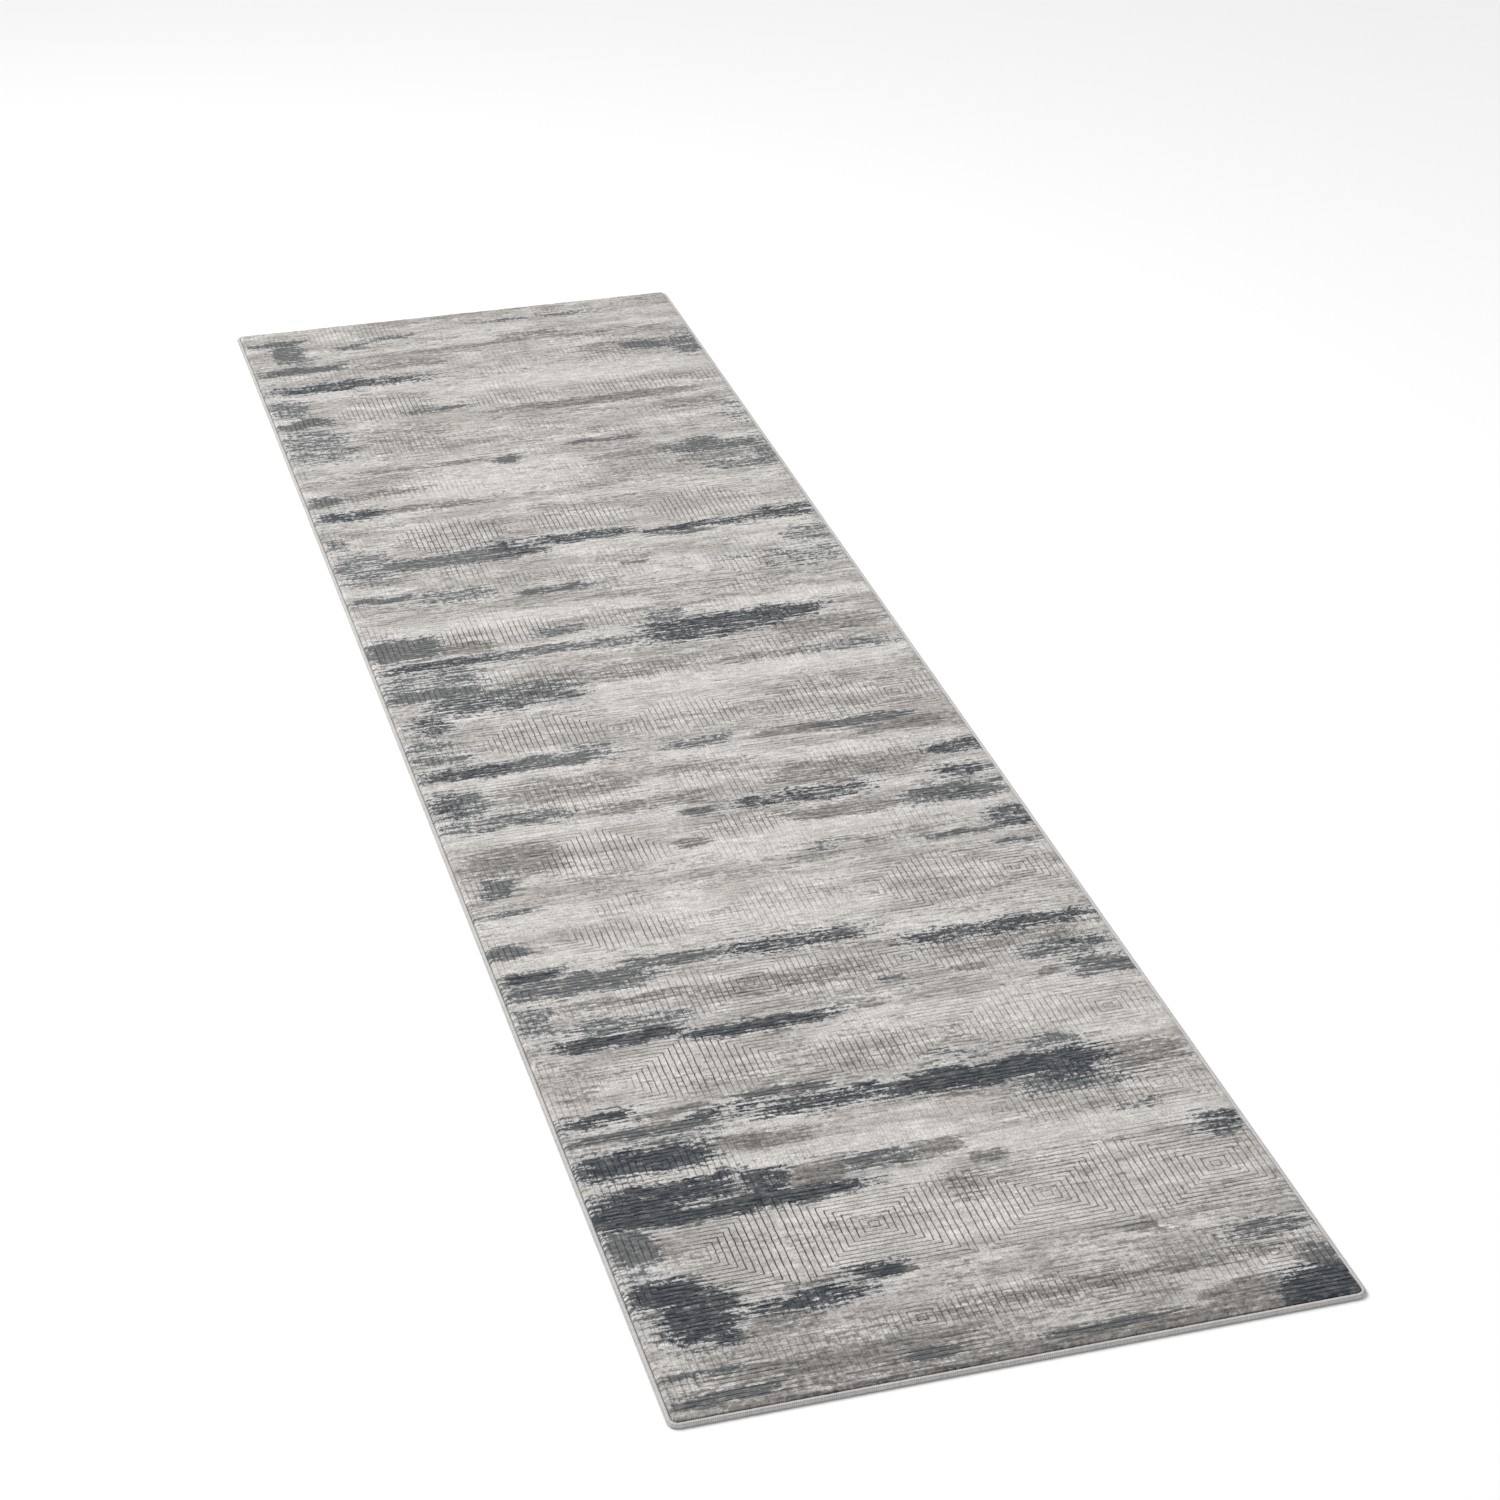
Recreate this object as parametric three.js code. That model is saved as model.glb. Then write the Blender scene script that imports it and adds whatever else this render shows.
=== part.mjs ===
// Runner rug: cut pile on a woven ground, a latex back and an overlocked edge over a filler cord.
// Millimetres, +Z up. The origin is on the floor under the rug's middle, +X is across, +Y is along.
import * as THREE from 'three';

// Driving dimensions.
const rugWidth = 787;
const rugLength = 2997;
const cornerRadius = 13;
const layerGap = 0.25; // clearance between neighbouring pieces

// Thickness of each layer, from the floor up.
const latexThickness = 0.8;
const weftThickness = 0.55;
const stufferThickness = 0.6;
const lowPileHeight = 2.1;
const highPileHeight = 3.55;

// The overlock yarn is a C-shaped wrap round the ground and the filler cord, lower than the pile.
const wrapHeight = 6;
const wrapDepth = 5.6;
const wrapSide = 1.1;
const wrapTop = 1.1;
const wrapBottom = latexThickness;
const wrapTopRounding = 2.4;
const wrapBottomRounding = 1.2;
const cordWidth = 3.2;

// Rounding.
const cornerSteps = 6; // straight facets in each eighth of a turn
const sectionSteps = 5;
const joinAngle = THREE.MathUtils.degToRad(1); // trimmed from each wrap and cord where two meet

const eighthTurn = Math.PI / 4;
const quarterTurn = Math.PI / 2;

const groundInset = wrapSide + layerGap + cordWidth + layerGap;
const pileInset = wrapDepth + layerGap;

function yarn(color, roughness = 0.95) {
  return new THREE.MeshStandardMaterial({ color, roughness, metalness: 0 });
}

const latexSkin = new THREE.MeshStandardMaterial({ color: 0xb9b1a2, roughness: 0.8, metalness: 0 });

function roundedOutline(width, length, radius) {
  const x = width / 2 - radius;
  const y = length / 2 - radius;
  const outline = new THREE.Shape();
  outline.absarc(x, y, radius, 0, quarterTurn);
  outline.absarc(-x, y, radius, quarterTurn, 2 * quarterTurn);
  outline.absarc(-x, -y, radius, 2 * quarterTurn, 3 * quarterTurn);
  outline.absarc(x, -y, radius, 3 * quarterTurn, 4 * quarterTurn);
  return outline;
}

// One flat layer of the rug, its outline set in from the rug's own edge.
function layer(name, inset, bottom, thickness, material) {
  const outline = roundedOutline(rugWidth - 2 * inset, rugLength - 2 * inset, cornerRadius - inset);
  const solid = new THREE.ExtrudeGeometry(outline, {
    depth: thickness,
    bevelEnabled: false,
    curveSegments: 2 * cornerSteps,
  });
  const mesh = new THREE.Mesh(solid, material);
  mesh.name = name;
  mesh.position.z = bottom;
  return mesh;
}

// The outer edge of one side: half of a corner arc, the straight side, and half of the next arc.
// The side faces +X and is followed towards +Y. Each step ends where the edge changes direction.
class SideEdge extends THREE.Curve {
  constructor(halfAcross, halfAlong) {
    super();
    this.arcX = halfAcross - cornerRadius;
    this.arcY = halfAlong - cornerRadius;
    this.steps = 2 * cornerSteps + 1;
  }

  turnAt(step) {
    const sweep = eighthTurn - joinAngle;
    if (step <= cornerSteps) {
      return -sweep * (1 - step / cornerSteps);
    }
    return (sweep * (step - cornerSteps - 1)) / cornerSteps;
  }

  getPointAt(fraction, target = new THREE.Vector3()) {
    const step = Math.round(fraction * this.steps);
    const turn = this.turnAt(step);
    const end = step <= cornerSteps ? -1 : 1;
    const x = this.arcX + cornerRadius * Math.cos(turn);
    const y = end * this.arcY + cornerRadius * Math.sin(turn);
    return target.set(x, y, 0);
  }

  getTangentAt(fraction, target = new THREE.Vector3()) {
    const turn = this.turnAt(Math.round(fraction * this.steps));
    return target.set(-Math.sin(turn), Math.cos(turn), 0);
  }
}

// Sections are drawn with x downwards and y inwards from the rug's outer edge.
function wrapSection() {
  const top = -wrapHeight;
  const section = new THREE.Shape();
  section.moveTo(0, wrapBottomRounding);
  section.lineTo(0, wrapDepth);
  section.lineTo(-wrapBottom, wrapDepth);
  section.lineTo(-wrapBottom, wrapSide);
  section.lineTo(top + wrapTop, wrapSide);
  section.lineTo(top + wrapTop, wrapDepth);
  section.lineTo(top, wrapDepth);
  section.lineTo(top, wrapTopRounding);
  section.absarc(top + wrapTopRounding, wrapTopRounding, wrapTopRounding, Math.PI, 3 * quarterTurn);
  section.lineTo(-wrapBottomRounding, 0);
  section.absarc(-wrapBottomRounding, wrapBottomRounding, wrapBottomRounding, -quarterTurn, 0);
  return section;
}

function cordSection() {
  const low = wrapBottom + layerGap;
  const high = wrapHeight - wrapTop - layerGap;
  const inward = wrapSide + layerGap + cordWidth / 2;
  const section = new THREE.Shape();
  section.absellipse(-(low + high) / 2, inward, (high - low) / 2, cordWidth / 2, 0, 2 * Math.PI);
  return section;
}

// A piece that follows one side of the rug, turned from the +X side to its own side.
function edgePiece(name, section, side, material) {
  const edge = new SideEdge(side.halfAcross, side.halfAlong);
  const solid = new THREE.ExtrudeGeometry(section, {
    steps: edge.steps,
    curveSegments: sectionSteps,
    extrudePath: edge,
  });
  const mesh = new THREE.Mesh(solid, material);
  mesh.name = name;
  mesh.rotation.z = side.turn;
  return mesh;
}

const group = new THREE.Group();

// The layers lie on each other, each a gap above the one below.
const layers = [
  ['latex_back', pileInset, latexThickness, latexSkin],
  ['lower_weft', groundInset, weftThickness, yarn(0xb5a98f)],
  ['stuffer_warp', groundInset, stufferThickness, yarn(0xcfc8ba)],
  ['upper_weft', groundInset, weftThickness, yarn(0xb5a98f)],
  ['low_pile', pileInset, lowPileHeight, yarn(0x8f8880, 0.98)],
  ['high_pile', pileInset, highPileHeight, yarn(0xc4beb6, 0.98)],
];

let floor = 0;
for (const [name, inset, thickness, material] of layers) {
  group.add(layer(name, inset, floor, thickness, material));
  floor += thickness + layerGap;
}

const sides = [
  { name: 'right', turn: 0, halfAcross: rugWidth / 2, halfAlong: rugLength / 2 },
  { name: 'far', turn: quarterTurn, halfAcross: rugLength / 2, halfAlong: rugWidth / 2 },
  { name: 'left', turn: 2 * quarterTurn, halfAcross: rugWidth / 2, halfAlong: rugLength / 2 },
  { name: 'near', turn: 3 * quarterTurn, halfAcross: rugLength / 2, halfAlong: rugWidth / 2 },
];

for (const side of sides) {
  group.add(edgePiece(`edge_cord_${side.name}`, cordSection(), side, yarn(0xd8d3c9)));
  group.add(edgePiece(`overlock_${side.name}`, wrapSection(), side, yarn(0x9d9a96, 0.9)));
}

export default group;
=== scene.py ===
import math

import bmesh
import bpy
import numpy as np
from mathutils import Matrix, Vector


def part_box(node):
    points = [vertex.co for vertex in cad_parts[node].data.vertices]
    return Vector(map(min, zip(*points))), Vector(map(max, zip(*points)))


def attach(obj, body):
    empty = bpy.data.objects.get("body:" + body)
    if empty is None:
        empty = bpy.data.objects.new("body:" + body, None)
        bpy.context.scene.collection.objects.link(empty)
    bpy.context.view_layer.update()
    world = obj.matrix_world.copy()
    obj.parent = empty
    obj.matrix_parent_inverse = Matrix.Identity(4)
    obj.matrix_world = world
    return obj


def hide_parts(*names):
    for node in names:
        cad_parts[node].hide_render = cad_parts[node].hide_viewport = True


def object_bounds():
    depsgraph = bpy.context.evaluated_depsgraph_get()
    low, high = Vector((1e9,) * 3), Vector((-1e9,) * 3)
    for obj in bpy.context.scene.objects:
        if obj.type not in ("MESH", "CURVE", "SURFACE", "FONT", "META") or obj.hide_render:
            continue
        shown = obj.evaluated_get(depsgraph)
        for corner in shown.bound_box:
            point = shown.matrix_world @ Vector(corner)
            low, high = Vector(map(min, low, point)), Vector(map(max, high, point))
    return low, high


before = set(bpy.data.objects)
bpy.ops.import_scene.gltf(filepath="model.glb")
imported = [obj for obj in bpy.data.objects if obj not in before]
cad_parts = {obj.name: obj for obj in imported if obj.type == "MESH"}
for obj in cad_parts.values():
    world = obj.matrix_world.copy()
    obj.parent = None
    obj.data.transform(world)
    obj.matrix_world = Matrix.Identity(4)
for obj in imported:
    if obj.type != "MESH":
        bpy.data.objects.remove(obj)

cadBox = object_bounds()

# Outline of the rug, read from the frame. X is across, Y is along, the far end is +Y.
rugLow, rugHigh = cadBox
rugWidth = rugHigh[0] - rugLow[0]
rugLength = rugHigh[1] - rugLow[1]
pileLow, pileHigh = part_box("high_pile")
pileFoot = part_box("low_pile")[0][2]
pileTop = pileHigh[2]
rugCorner = 0.013  # radius of the rug's corners
pileCorner = rugCorner - (pileLow[0] - rugLow[0])


def newObject(name, bm):
    mesh = bpy.data.meshes.new(name)
    bm.to_mesh(mesh)
    bm.free()
    piece = bpy.data.objects.new(name, mesh)
    bpy.context.scene.collection.objects.link(piece)
    return piece


def places(mesh):
    found = np.empty(len(mesh.vertices) * 3)
    mesh.vertices.foreach_get("co", found)
    return found.reshape(-1, 3)


def setPlaces(mesh, points):
    mesh.vertices.foreach_set("co", points.ravel())
    mesh.update()


def loopPlaces(mesh):
    # The vertex of each face corner, each face's first corner and its number of corners.
    corners = np.empty(len(mesh.loops), int)
    start = np.empty(len(mesh.polygons), int)
    count = np.empty(len(mesh.polygons), int)
    mesh.loops.foreach_get("vertex_index", corners)
    mesh.polygons.foreach_get("loop_start", start)
    mesh.polygons.foreach_get("loop_total", count)
    return corners, start, count


def addBakeMap(mesh, u, v):
    both = np.stack([u, v], 1).astype(np.float32)
    mesh.uv_layers.new(name="OFBake").uv.foreach_set("vector", both.ravel())


def addField(mesh, name, values):
    mesh.attributes.new(name, "FLOAT", "POINT").data.foreach_set("value", values.astype(np.float32))


def pullIntoCorner(bm, halfWidth, halfLength, radius):
    # Points outside the rounded corners are pulled in to them.
    for v in bm.verts:
        x = abs(v.co.x) - (halfWidth - radius)
        y = abs(v.co.y) - (halfLength - radius)
        if x > 0 and y > 0 and math.hypot(x, y) > radius:
            pull = radius / math.hypot(x, y)
            v.co.x = math.copysign(halfWidth - radius + x * pull, v.co.x)
            v.co.y = math.copysign(halfLength - radius + y * pull, v.co.y)


def closeSheet(bm, rim, drop):
    # Walls down from the rim of an open sheet, or up from it, and a flat face that closes them.
    made = bmesh.ops.extrude_edge_only(bm, edges=rim)["geom"]
    verts = [g for g in made if isinstance(g, bmesh.types.BMVert)]
    edges = [g for g in made if isinstance(g, bmesh.types.BMEdge)]
    bmesh.ops.translate(bm, vec=(0, 0, drop), verts=verts)
    bmesh.ops.edgeloop_fill(bm, edges=[e for e in edges if e.is_boundary])
    bmesh.ops.recalc_face_normals(bm, faces=bm.faces[:])


def smoothStep(low, high, value):
    t = np.clip((value - low) / (high - low), 0, 1)
    return t * t * (3 - 2 * t)


def softNoise(x, y, sizeX, sizeY, seed):
    # Random heights on a lattice of sizeX by sizeY metres, blended smoothly, from 0 to 1.
    gx = (x - rugLow[0]) / sizeX + 2
    gy = (y - rugLow[1]) / sizeY + 2
    heights = np.random.default_rng(seed).random((int(rugWidth / sizeX) + 6, int(rugLength / sizeY) + 6))
    ix = np.floor(gx).astype(int)
    iy = np.floor(gy).astype(int)
    fx = smoothStep(0, 1, gx - ix)
    fy = smoothStep(0, 1, gy - iy)
    near = heights[ix, iy] * (1 - fx) + heights[ix + 1, iy] * fx
    far = heights[ix, iy + 1] * (1 - fx) + heights[ix + 1, iy + 1] * fx
    return near * (1 - fy) + far * fy


# Streaks: (left, right, start, end, strength), in metres from the left edge and from the far end.
streaks = {
    "navy": [
        (0.010, 0.290, 0.240, 0.275, 0.62), (0.018, 0.118, 0.757, 0.783, 0.72),
        (0.258, 0.338, 0.922, 0.978, 0.55), (0.690, 0.787, 0.925, 0.958, 0.55),
        (0.308, 0.488, 0.928, 0.957, 0.60), (0.568, 0.783, 0.940, 0.962, 0.58),
        (0.488, 0.603, 0.946, 0.960, 0.70), (0.418, 0.688, 1.258, 1.296, 0.75),
        (0.008, 0.198, 1.288, 1.308, 0.60), (0.410, 0.610, 1.290, 1.322, 0.64),
        (0.063, 0.278, 1.400, 1.452, 0.35), (0.030, 0.076, 1.445, 1.495, 0.58),
        (0.010, 0.150, 1.602, 1.633, 0.50), (0.012, 0.053, 1.670, 1.730, 0.48),
        (0.708, 0.783, 1.715, 1.745, 0.62), (0.703, 0.763, 1.785, 1.812, 0.65),
        (0.408, 0.603, 1.787, 1.817, 0.56), (0.665, 0.735, 1.838, 1.872, 0.35),
        (0.733, 0.787, 1.908, 1.960, 0.42), (0.018, 0.087, 2.126, 2.140, 0.70),
        (0.308, 0.488, 2.132, 2.160, 0.60), (0.518, 0.787, 2.174, 2.200, 0.62),
        (0.680, 0.768, 2.238, 2.262, 0.38), (0.043, 0.203, 2.287, 2.307, 0.85),
        (0.203, 0.388, 2.304, 2.319, 0.90), (0.013, 0.103, 2.438, 2.460, 0.62),
        (0.158, 0.240, 2.464, 2.484, 0.55), (0.588, 0.658, 2.464, 2.530, 0.70),
        (0.400, 0.673, 2.468, 2.505, 0.92), (0.238, 0.420, 2.470, 2.498, 0.62),
        (0.008, 0.170, 2.522, 2.560, 0.90), (0.010, 0.188, 2.588, 2.625, 0.80),
        (0.188, 0.240, 2.592, 2.642, 0.72), (0.010, 0.100, 2.618, 2.645, 1.00),
        (0.728, 0.783, 2.638, 2.672, 0.45), (0.010, 0.308, 2.640, 2.659, 1.00),
        (0.010, 0.090, 2.762, 2.798, 0.95), (0.035, 0.118, 2.785, 2.868, 0.85),
        (0.256, 0.312, 2.794, 2.809, 0.80), (0.133, 0.268, 2.817, 2.845, 0.68),
        (0.703, 0.787, 2.938, 3.005, 1.00),
    ],
    "slate": [
        (0.010, 0.112, 0.037, 0.052, 0.75), (0.428, 0.658, 0.043, 0.054, 0.55),
        (0.053, 0.108, 0.045, 0.145, 0.65), (0.223, 0.308, 0.060, 0.078, 0.55),
        (0.158, 0.218, 0.080, 0.100, 0.60), (0.013, 0.163, 0.162, 0.184, 0.85),
        (0.733, 0.785, 0.200, 0.285, 0.62), (0.648, 0.728, 0.210, 0.245, 0.75),
        (0.010, 0.073, 0.300, 0.370, 0.54), (0.013, 0.103, 0.385, 0.415, 0.80),
        (0.223, 0.338, 0.394, 0.406, 0.65), (0.013, 0.120, 0.425, 0.560, 0.48),
        (0.743, 0.785, 0.490, 0.600, 0.32), (0.468, 0.578, 0.591, 0.601, 0.70),
        (0.333, 0.373, 0.618, 0.646, 0.75), (0.648, 0.713, 0.634, 0.680, 0.66),
        (0.608, 0.783, 0.652, 0.690, 0.65), (0.750, 0.785, 0.680, 0.760, 0.56),
        (0.010, 0.060, 0.690, 0.725, 0.70), (0.653, 0.783, 0.732, 0.762, 0.50),
        (0.010, 0.043, 0.845, 0.890, 0.50), (0.010, 0.100, 0.908, 1.015, 0.50),
        (0.688, 0.783, 0.924, 0.948, 0.60), (0.198, 0.268, 0.925, 0.985, 0.44),
        (0.075, 0.340, 0.945, 0.985, 0.68), (0.508, 0.613, 0.968, 0.977, 0.65),
        (0.705, 0.785, 0.998, 1.052, 0.46), (0.010, 0.110, 1.064, 1.081, 0.68),
        (0.583, 0.660, 1.065, 1.085, 0.30), (0.108, 0.228, 1.066, 1.108, 0.48),
        (0.643, 0.783, 1.070, 1.135, 0.38), (0.268, 0.388, 1.100, 1.118, 0.72),
        (0.010, 0.120, 1.208, 1.270, 0.80), (0.430, 0.490, 1.215, 1.262, 0.55),
        (0.258, 0.338, 1.230, 1.256, 0.58), (0.010, 0.428, 1.284, 1.310, 0.54),
        (0.015, 0.163, 1.312, 1.372, 0.48), (0.010, 0.153, 1.370, 1.402, 0.72),
        (0.063, 0.285, 1.385, 1.455, 0.58), (0.630, 0.783, 1.388, 1.420, 0.46),
        (0.028, 0.082, 1.450, 1.500, 0.50), (0.008, 0.073, 1.518, 1.538, 0.54),
        (0.013, 0.093, 1.555, 1.584, 0.58), (0.228, 0.280, 1.587, 1.595, 0.60),
        (0.008, 0.285, 1.602, 1.634, 0.66), (0.353, 0.460, 1.612, 1.636, 0.55),
        (0.578, 0.715, 1.614, 1.634, 0.72), (0.010, 0.090, 1.664, 1.730, 0.60),
        (0.013, 0.188, 1.738, 1.775, 0.50), (0.345, 0.380, 1.797, 1.808, 1.00),
        (0.628, 0.783, 1.830, 1.873, 0.66), (0.033, 0.073, 1.895, 1.946, 0.70),
        (0.728, 0.787, 1.903, 1.962, 0.60), (0.468, 0.518, 1.925, 1.948, 0.38),
        (0.613, 0.748, 1.951, 1.959, 0.72), (0.008, 0.105, 1.979, 1.989, 0.52),
        (0.713, 0.783, 1.990, 2.001, 0.55), (0.008, 0.058, 2.060, 2.088, 0.80),
        (0.020, 0.085, 2.126, 2.139, 1.00), (0.173, 0.300, 2.130, 2.152, 0.70),
        (0.010, 0.200, 2.145, 2.188, 0.66), (0.008, 0.053, 2.207, 2.262, 0.55),
        (0.655, 0.770, 2.234, 2.274, 0.54), (0.063, 0.218, 2.250, 2.288, 0.50),
        (0.458, 0.500, 2.258, 2.266, 0.60), (0.703, 0.787, 2.286, 2.326, 0.64),
        (0.468, 0.570, 2.425, 2.450, 0.34), (0.583, 0.655, 2.434, 2.453, 0.62),
        (0.220, 0.340, 2.446, 2.461, 0.78), (0.013, 0.190, 2.480, 2.493, 0.78),
        (0.073, 0.200, 2.490, 2.516, 0.40), (0.555, 0.690, 2.500, 2.552, 0.54),
        (0.643, 0.710, 2.587, 2.604, 0.42), (0.310, 0.390, 2.597, 2.625, 0.66),
        (0.725, 0.785, 2.637, 2.680, 0.55), (0.010, 0.063, 2.667, 2.722, 0.78),
        (0.010, 0.055, 2.722, 2.760, 0.36), (0.258, 0.310, 2.795, 2.808, 1.00),
        (0.673, 0.783, 2.838, 2.868, 0.52), (0.070, 0.120, 2.845, 2.880, 0.60),
        (0.743, 0.783, 2.898, 2.936, 0.80), (0.010, 0.103, 2.913, 2.922, 0.70),
        (0.273, 0.330, 2.942, 2.958, 0.95), (0.015, 0.130, 2.951, 2.967, 0.75),
        (0.418, 0.575, 2.958, 2.967, 0.90),
    ],
    "taupe": [
        (0.428, 0.583, 0.108, 0.142, 0.52), (0.188, 0.783, 0.141, 0.151, 0.50),
        (0.163, 0.368, 0.165, 0.212, 0.45), (0.560, 0.720, 0.195, 0.240, 0.45),
        (0.353, 0.738, 0.418, 0.450, 0.58), (0.110, 0.290, 0.430, 0.540, 0.34),
        (0.640, 0.783, 0.468, 0.520, 0.42), (0.108, 0.333, 0.611, 0.629, 0.52),
        (0.468, 0.650, 0.648, 0.676, 0.52), (0.053, 0.213, 0.688, 0.716, 0.50),
        (0.608, 0.758, 0.690, 0.728, 0.50), (0.118, 0.308, 0.759, 0.781, 0.55),
        (0.463, 0.568, 0.812, 0.821, 0.42), (0.128, 0.345, 0.844, 0.872, 0.30),
        (0.018, 0.128, 1.000, 1.020, 0.48), (0.430, 0.480, 1.040, 1.058, 0.50),
        (0.468, 0.783, 1.146, 1.176, 0.33), (0.088, 0.200, 1.238, 1.276, 0.58),
        (0.603, 0.783, 1.300, 1.360, 0.50), (0.153, 0.490, 1.362, 1.416, 0.42),
        (0.498, 0.640, 1.390, 1.416, 0.50), (0.488, 0.620, 1.614, 1.636, 0.60),
        (0.618, 0.783, 1.632, 1.668, 0.58), (0.088, 0.308, 1.664, 1.726, 0.42),
        (0.308, 0.458, 1.674, 1.706, 0.40), (0.460, 0.710, 1.714, 1.784, 0.46),
        (0.190, 0.410, 1.748, 1.782, 0.46), (0.008, 0.163, 1.818, 1.902, 0.52),
        (0.463, 0.628, 1.838, 1.872, 0.54), (0.300, 0.350, 1.868, 1.892, 0.56),
        (0.518, 0.680, 1.922, 1.952, 0.33), (0.428, 0.515, 1.952, 1.962, 0.42),
        (0.538, 0.768, 2.198, 2.240, 0.42), (0.053, 0.240, 2.205, 2.228, 0.50),
        (0.220, 0.488, 2.206, 2.252, 0.43), (0.560, 0.600, 2.262, 2.273, 0.60),
        (0.655, 0.690, 2.294, 2.308, 0.60), (0.413, 0.450, 2.302, 2.318, 0.58),
        (0.298, 0.333, 2.325, 2.346, 0.36), (0.018, 0.080, 2.340, 2.366, 0.32),
        (0.018, 0.075, 2.380, 2.416, 0.36), (0.103, 0.193, 2.450, 2.462, 0.60),
        (0.673, 0.783, 2.470, 2.530, 0.54), (0.455, 0.570, 2.508, 2.526, 0.46),
        (0.158, 0.300, 2.524, 2.552, 0.62), (0.388, 0.455, 2.594, 2.626, 0.70),
        (0.238, 0.312, 2.598, 2.642, 0.68), (0.448, 0.490, 2.635, 2.653, 0.68),
        (0.408, 0.455, 2.655, 2.712, 0.52), (0.170, 0.235, 2.800, 2.822, 0.46),
        # The broad, weak entries from here on darken the whole near end of the rug, most towards its near
        # edge.
        (0.573, 0.615, 2.806, 2.821, 0.66), (0.260, 0.783, 2.806, 2.868, 0.26),
        (0.120, 0.205, 2.845, 2.880, 0.54), (0.010, 0.330, 2.862, 2.914, 0.30),
        (0.268, 0.783, 2.878, 2.902, 0.50), (0.120, 0.430, 2.884, 2.912, 0.36),
        (0.300, 0.620, 2.896, 2.936, 0.30), (0.073, 0.358, 2.914, 2.946, 0.66),
        (0.008, 0.420, 2.925, 2.985, 0.46), (0.605, 0.715, 2.932, 2.968, 0.60),
        (0.188, 0.783, 2.964, 2.990, 0.62), (0.008, 0.700, 2.970, 3.010, 0.60),
    ],
    "plain": [
        (0.620, 0.783, 0.045, 0.105, 0.40), (0.360, 0.540, 0.060, 0.130, 0.90),
        (0.283, 0.783, 0.270, 0.348, 1.00), (0.010, 0.300, 0.274, 0.302, 1.00),
        (0.160, 0.480, 0.630, 0.760, 0.90), (0.430, 0.783, 0.780, 0.815, 0.80),
        (0.330, 0.640, 0.958, 1.000, 1.00), (0.620, 0.783, 0.962, 1.000, 0.90),
        (0.440, 0.640, 1.060, 1.140, 0.90), (0.008, 0.500, 1.166, 1.206, 1.00),
        (0.488, 0.783, 1.214, 1.252, 1.00), (0.188, 0.428, 1.268, 1.286, 1.00),
        (0.280, 0.783, 1.412, 1.478, 1.00), (0.300, 0.500, 1.478, 1.540, 0.80),
        (0.308, 0.470, 1.632, 1.672, 0.60), (0.008, 0.275, 1.634, 1.662, 1.00),
        (0.463, 0.783, 1.682, 1.714, 1.00), (0.188, 0.420, 1.724, 1.746, 1.00),
        (0.008, 0.350, 1.778, 1.814, 0.90), (0.608, 0.708, 1.798, 1.814, 1.00),
        (0.358, 0.783, 1.870, 1.906, 0.90), (0.250, 0.440, 1.885, 1.955, 1.00),
        (0.008, 0.190, 1.984, 2.040, 1.00), (0.190, 0.340, 2.010, 2.052, 0.90),
        (0.280, 0.540, 2.050, 2.130, 1.00), (0.008, 0.290, 2.090, 2.126, 1.00),
        (0.488, 0.783, 2.114, 2.172, 1.00), (0.008, 0.430, 2.186, 2.206, 0.90),
        (0.340, 0.783, 2.322, 2.386, 1.00), (0.108, 0.190, 2.392, 2.444, 0.80),
        (0.653, 0.783, 2.412, 2.466, 0.90), (0.280, 0.470, 2.545, 2.600, 0.50),
        (0.013, 0.453, 2.560, 2.592, 1.00), (0.455, 0.783, 2.596, 2.636, 1.00),
        (0.300, 0.430, 2.640, 2.664, 0.90), (0.255, 0.783, 2.744, 2.762, 0.40),
        (0.110, 0.783, 2.670, 2.800, 0.60), (0.110, 0.300, 2.320, 2.420, 0.50),
    ],
}

# How the lists lie on the rug, and how far the edges of a streak wander. Lengths are in metres.
streakLayout = {
    "left": -0.002,  # the left side of the lists, from the rug's left edge
    "start": 0.0178,  # the far end of the lists, from the rug's far end
    "stretch": 1.0012,  # metres in the lists for each metre along the rug
    "skew": 0.0096,  # how far the streaks drop for each metre across
    "wanderAcross": 0.014,
    "wanderAlong": 0.008,
    "acrossNoise": (0.050, 0.016, 3),  # noises are (across, along, seed)
    "alongNoise": (0.035, 0.060, 4),
    "thicker": 0.0015,  # added to half the thickness of each streak
    "fullWithin": 0.55,  # as a share of the way from a streak's middle to its edge
    "goneBeyond": 1.55,
}


def streakField(rows, x, y, widen=0.0):
    # How much of a yarn shows, from 0 to 1. The edges wander, because tufts change colour one by one.
    layout = streakLayout
    across = x - rugLow[0] - layout["left"]
    down = (rugHigh[1] - y - layout["start"]) * layout["stretch"] + layout["skew"] * across
    across = across + layout["wanderAcross"] * (softNoise(x, y, *layout["acrossNoise"]) - 0.5)
    down = down + layout["wanderAlong"] * (softNoise(x, y, *layout["alongNoise"]) - 0.5)
    amount = np.zeros(len(x))
    for left, right, start, end, strength in rows:
        du = (across - (left + right) / 2) / ((right - left) / 2 + 2 * widen)
        dv = (down - (start + end) / 2) / ((end - start) / 2 + layout["thicker"] + widen)
        reach = (du ** 4 + np.abs(dv) ** 3) ** 0.3  # 0 in the middle and about 1 at the edge
        shown = smoothStep(layout["goneBeyond"], layout["fullWithin"], reach)
        amount = np.maximum(amount, strength * shown)
    return amount


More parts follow.
